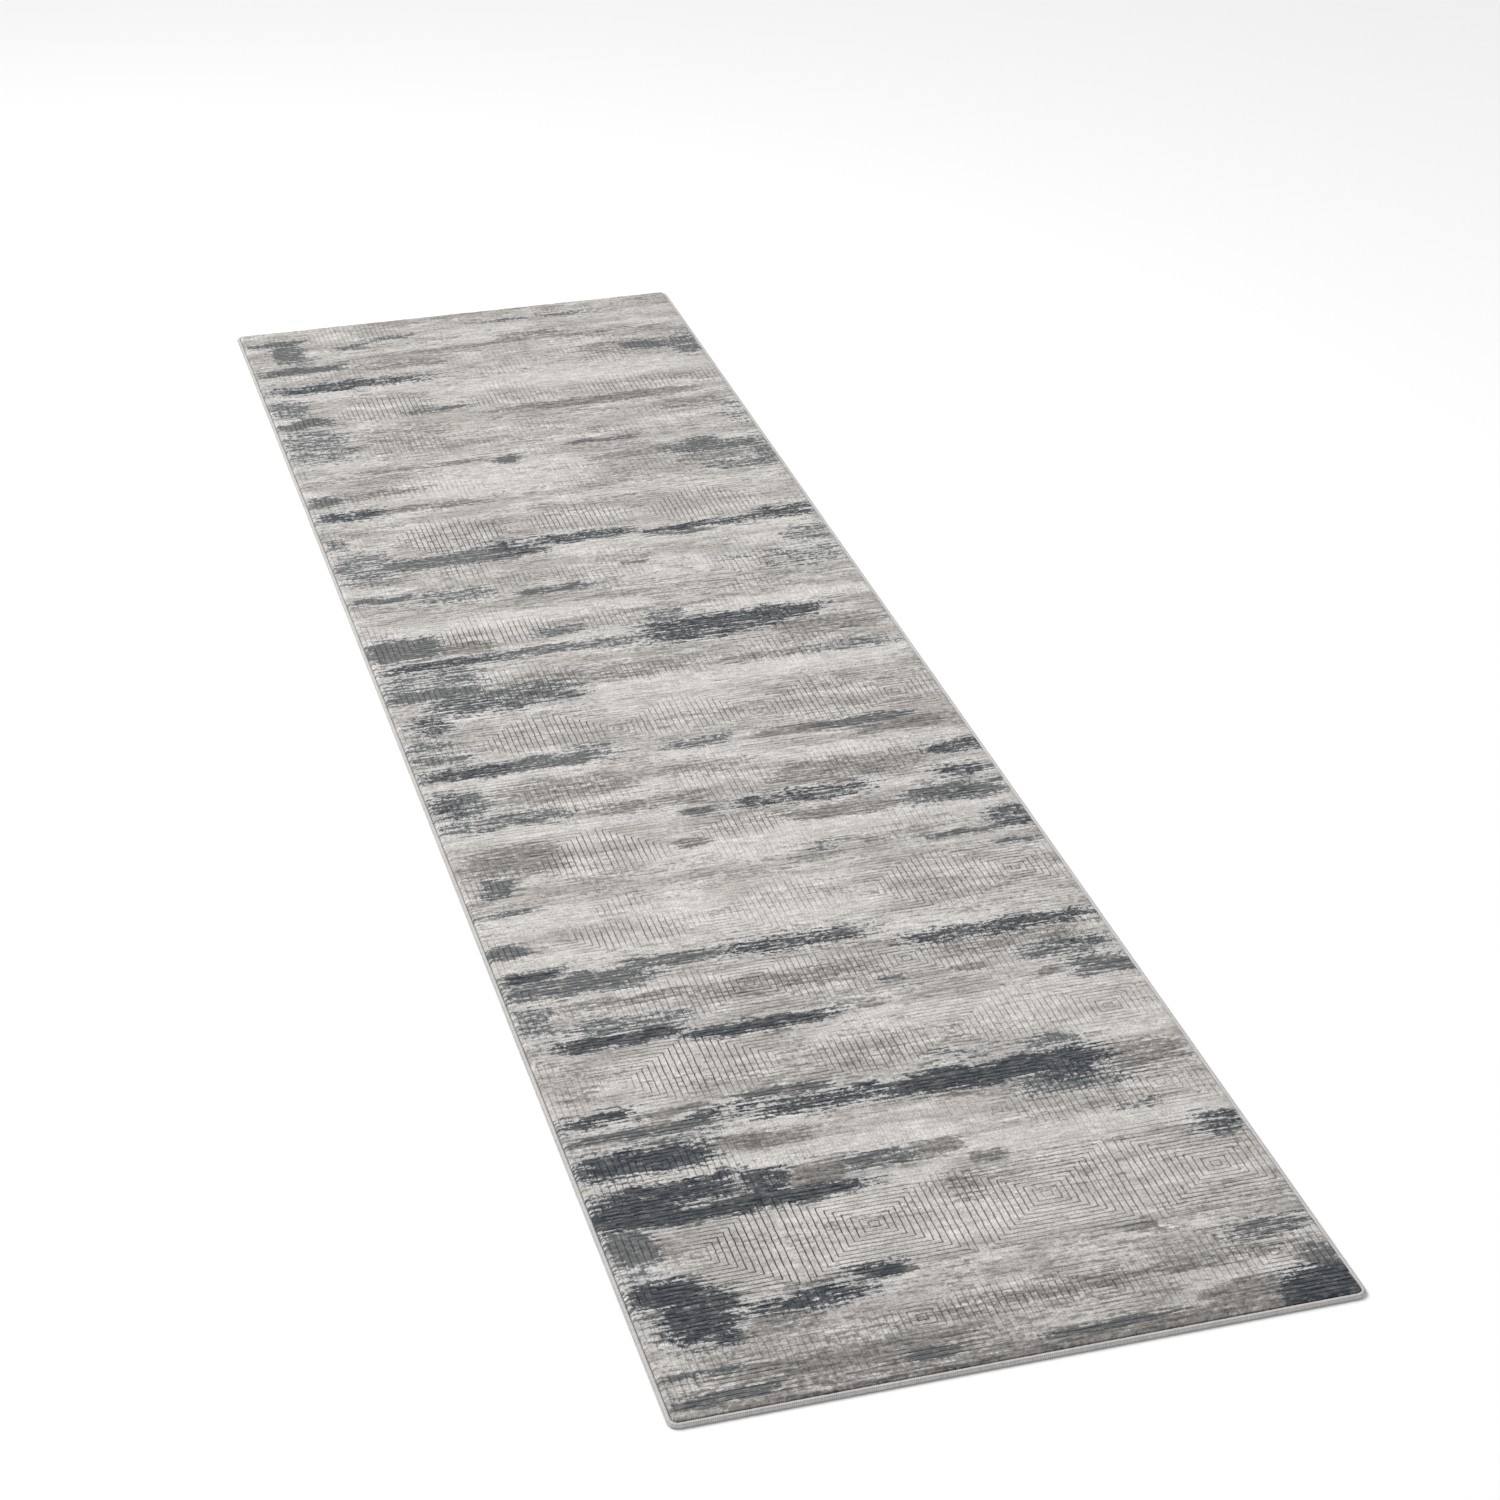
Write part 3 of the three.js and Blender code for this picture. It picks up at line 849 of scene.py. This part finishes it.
def pileMaterial(tufts, spread):
    material, tree, shader = newMaterial("cut pile")
    place = addNode(tree, "ShaderNodeTexCoord").outputs["Object"]
    tuft = addNode(tree, "ShaderNodeGroup", {"node_tree": tufts}, Vector=place)
    tuft.inputs["Per Metre"].default_value = cutPile["tuftsPerMetre"]
    at, tone, dome = (tuft.outputs[i] for i in range(3))
    strands, teeth, rows, strays, drift, flush, blend = (
        stretched(tree, at, *cutPile[name])
        for name in ("strands", "teeth", "rows", "strays", "drift", "flush", "blend"))
    clump = weighted(tree, zip((strands, teeth, rows), cutPile["clumpWeights"]))

    def shown(name):
        inputs = {"Amount": fieldNode(tree, name), "Clump": clump, "Chance": tone}
        return addNode(tree, "ShaderNodeGroup", {"node_tree": spread}, **inputs).outputs[0]

    # The light yarns
    light = mixColour(tree, mapRange(tree, drift, *cutPile["greigeRamp"]), yarns["cream"], yarns["greige"])
    light = mixColour(tree, mapRange(tree, flush, *cutPile["blushRamp"]), light, yarns["blush"])
    chill = mapRange(tree, fieldNode(tree, "slate"), *cutPile["iceRamp"])
    light = mixColour(tree, chill, light, yarns["ice"])
    bare = mapRange(tree, fieldNode(tree, "plain"), *cutPile["plainRamp"])
    light = mixColour(tree, bare, light, yarns["cream"])

    # Slate turns to charcoal in taupe streaks, and taupe tufts stray into it
    dark = mathNode(tree, "MAXIMUM", fieldNode(tree, "slate"), fieldNode(tree, "navy"))
    brown = weighted(tree, [(fieldNode(tree, "taupe"), 1.0), (dark, -1.4)])
    brown = mathNode(tree, "MULTIPLY", mathNode(tree, "MAXIMUM", brown, 0.0), 4.0)
    dusk = mapRange(tree, blend, *cutPile["charcoalRamp"])
    brown = mathNode(tree, "MULTIPLY_ADD", dusk, cutPile["charcoalMost"], brown, clamp=True)
    slate = mixColour(tree, brown, yarns["slate"], yarns["charcoal"])
    fleck = mapRange(tree, strays, *cutPile["strayRamp"])
    slate = mixColour(tree, fleck, slate, yarns["taupe"])
    deep = mathNode(tree, "MAXIMUM", mapRange(tree, blend, *cutPile["slateInNavyRamp"]), fleck)
    navy = mixColour(tree, deep, yarns["navy"], slate)

    colour = light
    for name, yarn in (("taupe", yarns["taupe"]), ("slate", slate), ("navy", navy)):
        cover = mathNode(tree, "MULTIPLY", shown(name), cutPile[name + "Cover"])
        colour = mixColour(tree, cover, colour, yarn)

    # The tone of each tuft, and painted shade between tufts and in the grooves, multiplied into the colour
    fibre = stretched(tree, place, *cutPile["fibre"])
    toned = weighted(tree, zip((tone, fibre, blend, rows), cutPile["toneWeights"]))
    tuftGapShade = mapRange(tree, dome, *cutPile["tuftGapShadeRamp"], smooth=True)
    shade = mathNode(tree, "MULTIPLY_ADD", fieldNode(tree, "groove"), cutPile["grooveShade"], 1.0)
    level = mathNode(tree, "MULTIPLY", mathNode(tree, "MULTIPLY", toned, tuftGapShade), shade)
    tree.links.new(dim(tree, colour, level), shader.inputs["Base Color"])
    tree.links.new(mapRange(tree, tone, 0.0, 1.0, *cutPile["roughness"]), shader.inputs["Roughness"])
    fluff = stretched(tree, place, *cutPile["fluff"])
    bump = addNode(tree, "ShaderNodeBump", Strength=cutPile["bumpStrength"], Distance=cutPile["bumpHeight"],
                   Height=weighted(tree, [(dome, 0.6), (fluff, 1.0)]))
    tree.links.new(bump.outputs[0], shader.inputs["Normal"])
    shader.inputs["Sheen Weight"].default_value = cutPile["sheen"]
    shader.inputs["Sheen Roughness"].default_value = cutPile["sheenRoughness"]
    shader.inputs["Specular IOR Level"].default_value = cutPile["specular"]
    return material


overlockLook = {
    "fibre": (0.0012, 0.0012, 3.0),
    "patch": (0.060, 0.060, 2.0, 3.0),
    "blendWeights": (0.35, 0.6),  # turn, patch
    "lintRamp": (0.3, 0.7, 0.82, 1.12),
    "valleyShadeRamp": (0.32, 0.5, 1.0, 0.55),
    "creaseShade": -0.35,
    "roughness": (0.72, 0.95),
    "bumpStrength": 0.5,
    "bumpHeight": 0.0003,
    "sheen": 0.15,
    "specular": 0.25,
}


def overlockMaterial():
    material, tree, shader = newMaterial("overlock yarn")
    place = addNode(tree, "ShaderNodeTexCoord").outputs["Object"]
    turn = mathNode(tree, "FLOOR", fieldNode(tree, "turn"))
    strand = addNode(tree, "ShaderNodeTexWhiteNoise", {"noise_dimensions": "1D"}, W=turn).outputs["Value"]
    look = overlockLook
    fibre = stretched(tree, place, *look["fibre"])
    patch = stretched(tree, place, *look["patch"])
    blend = weighted(tree, zip((strand, patch), look["blendWeights"]))
    colour = mixColour(tree, blend, yarns["overlockLight"], yarns["overlockDark"])
    lint = mapRange(tree, fibre, *look["lintRamp"])
    # Painted shade: the colour is darker in the valleys between turns and along the crease line
    across = mathNode(tree, "FRACT", fieldNode(tree, "turn"))
    fromMiddle = mathNode(tree, "ABSOLUTE", mathNode(tree, "SUBTRACT", across, 0.5))
    valleyShade = mapRange(tree, fromMiddle, *look["valleyShadeRamp"])
    crease = mathNode(tree, "MULTIPLY_ADD", fieldNode(tree, "crease"), look["creaseShade"], 1.0)
    level = mathNode(tree, "MULTIPLY", mathNode(tree, "MULTIPLY", lint, valleyShade), crease)
    tree.links.new(dim(tree, colour, level), shader.inputs["Base Color"])
    tree.links.new(mapRange(tree, fibre, 0.0, 1.0, *look["roughness"]), shader.inputs["Roughness"])
    bump = addNode(tree, "ShaderNodeBump", Strength=look["bumpStrength"], Distance=look["bumpHeight"],
                   Height=fibre)
    tree.links.new(bump.outputs[0], shader.inputs["Normal"])
    shader.inputs["Sheen Weight"].default_value = look["sheen"]
    shader.inputs["Specular IOR Level"].default_value = look["specular"]
    return material


woven = {
    "lint": (0.006, 0.002, 3.0),
    "stain": (0.25, 0.08, 3.0, 4.0),
    "levelWeights": (0.35, 0.4),  # lint, stain
    "darkest": 0.62,
    "roughness": (0.7, 0.98),
    "bumpStrength": 0.6,
    "bumpHeight": 0.0004,
}


def wovenMaterial(name, warp, weft, warpPitch, weftPitch):
    # Plain weave: warp and weft threads cross over and under in turn. Pitches are in metres.
    material, tree, shader = newMaterial(name)
    place = addNode(tree, "ShaderNodeTexCoord").outputs["Object"]
    split = addNode(tree, "ShaderNodeSeparateXYZ", Vector=place)
    across, along = split.outputs[0], split.outputs[1]
    over = mathNode(tree, "SINE", mathNode(tree, "MULTIPLY", across, math.pi / warpPitch))
    under = mathNode(tree, "SINE", mathNode(tree, "MULTIPLY", along, math.pi / weftPitch))
    weave = mathNode(tree, "MULTIPLY_ADD", mathNode(tree, "MULTIPLY", over, under), 0.5, 0.5)
    lint = stretched(tree, place, *woven["lint"])
    stain = stretched(tree, place, *woven["stain"])
    level = weighted(tree, zip((lint, stain), woven["levelWeights"]), woven["darkest"])
    colour = dim(tree, mixColour(tree, weave, yarns[warp], yarns[weft]), level)
    tree.links.new(colour, shader.inputs["Base Color"])
    tree.links.new(mapRange(tree, lint, 0.0, 1.0, *woven["roughness"]), shader.inputs["Roughness"])
    bump = addNode(tree, "ShaderNodeBump", Strength=woven["bumpStrength"], Distance=woven["bumpHeight"],
                   Height=mathNode(tree, "ADD", weave, lint))
    tree.links.new(bump.outputs[0], shader.inputs["Normal"])
    return material


def dress(nodes, material):
    # The hidden layers and cords keep their own shapes.
    for node in nodes:
        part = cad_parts[node]
        part.data.materials.clear()
        part.data.materials.append(material)


def makeRug():
    print("pile material")
    piles = makePile(pileMaterial(tuftGroup(), yarnGroup()))
    edging = overlockMaterial()
    wraps = {side: makeOverlock(side, edging) for side in ("right", "far", "left", "near")}
    cloth = makeBack(wovenMaterial("latexed back", "latex", "jute", 0.0042, back["ribPitch"]))
    for pile in piles:
        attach(pile, "root")
        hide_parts("high_pile", "low_pile")
    for side, wrap in wraps.items():
        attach(wrap, "root")
        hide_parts(f"overlock_{side}")
    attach(cloth, "root")
    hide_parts("latex_back")
    cords = [f"edge_cord_{side}" for side in wraps]
    dress(["lower_weft", "upper_weft"], wovenMaterial("ground weft", "jute", "cotton", 0.0040, 0.0016))
    dress(["stuffer_warp"], wovenMaterial("stuffer warp", "cotton", "jute", 0.0018, 0.0060))
    dress(cords, wovenMaterial("filler cord", "cotton", "cream", 0.0012, 0.0012))
    return piles, wraps, cloth


# Floor and light. Places are in metres, and every light points at the middle of the rug.
studio = {
    "floorHalf": 30,
    "floorGap": 0.0005,
    "floorColour": (0.86, 0.86, 0.86, 1),
    "world": 0.52,
    "sky": {"place": (-1.7, 0.7, 2.9), "energy": 1.45, "angle": math.radians(25)},
    "key": {"place": (-1.7, 0.7, 3.1), "energy": 68.0, "size": 2.2},
    "fill": {"place": (3.0, -2.0, 3.5), "energy": 12.0, "size": 3.0},
}


def makeFloor():
    bm = bmesh.new()
    bmesh.ops.create_grid(bm, x_segments=1, y_segments=1, size=studio["floorHalf"])
    bmesh.ops.translate(bm, vec=(0, 0, -studio["floorGap"]), verts=bm.verts[:])
    floor = newObject("floor", bm)
    material, tree, shader = newMaterial("floor paint")
    shader.inputs["Base Color"].default_value = studio["floorColour"]
    shader.inputs["Roughness"].default_value = 0.9
    floor.data.materials.append(material)
    return floor


def makeLight(name, kind):
    chosen = studio[name]
    lamp = bpy.data.lights.new(name, kind)
    lamp.energy = chosen["energy"]
    if kind == "SUN":
        lamp.angle = chosen["angle"]
    else:
        lamp.shape = "DISK"
        lamp.size = chosen["size"]
    light = bpy.data.objects.new(name, lamp)
    light.location = chosen["place"]
    light.rotation_euler = (-Vector(chosen["place"])).to_track_quat("-Z", "Y").to_euler()
    bpy.context.scene.collection.objects.link(light)


def makeStudio():
    world = bpy.data.worlds.new("studio")
    bpy.context.scene.world = world
    world.use_nodes = True
    background = world.node_tree.nodes["Background"].inputs
    background["Color"].default_value = (1, 1, 1, 1)
    background["Strength"].default_value = studio["world"]
    makeLight("sky", "SUN")  # even light from one side, as from a large window
    makeLight("key", "AREA")
    makeLight("fill", "AREA")
    bpy.context.scene.view_settings.view_transform = "Standard"
    print("floor and lights")


# Camera: where it stands, which way it looks and which way is its right. The lens is in millimetres.
view = {
    "place": Vector((-1.048, -4.057, 2.316)),
    "forward": Vector((0.24116, 0.83416, -0.49600)),
    "right": Vector((0.96099, -0.27658, 0.00209)),
    "lens": 80.25,
    "sensor": 36,
}


def makeCamera():
    lens = bpy.data.cameras.new("view")
    lens.lens = view["lens"]
    lens.sensor_width = view["sensor"]
    lens.clip_end = 100
    camera = bpy.data.objects.new("view", lens)
    up = view["right"].cross(view["forward"]).normalized()
    right = view["forward"].cross(up).normalized()
    turn = Matrix((right, up, -view["forward"].normalized())).transposed().to_4x4()
    camera.matrix_world = Matrix.Translation(view["place"]) @ turn
    bpy.context.scene.collection.objects.link(camera)
    bpy.context.scene.camera = camera


piles, wraps, cloth = makeRug()
floor = makeFloor()
makeStudio()
makeCamera()
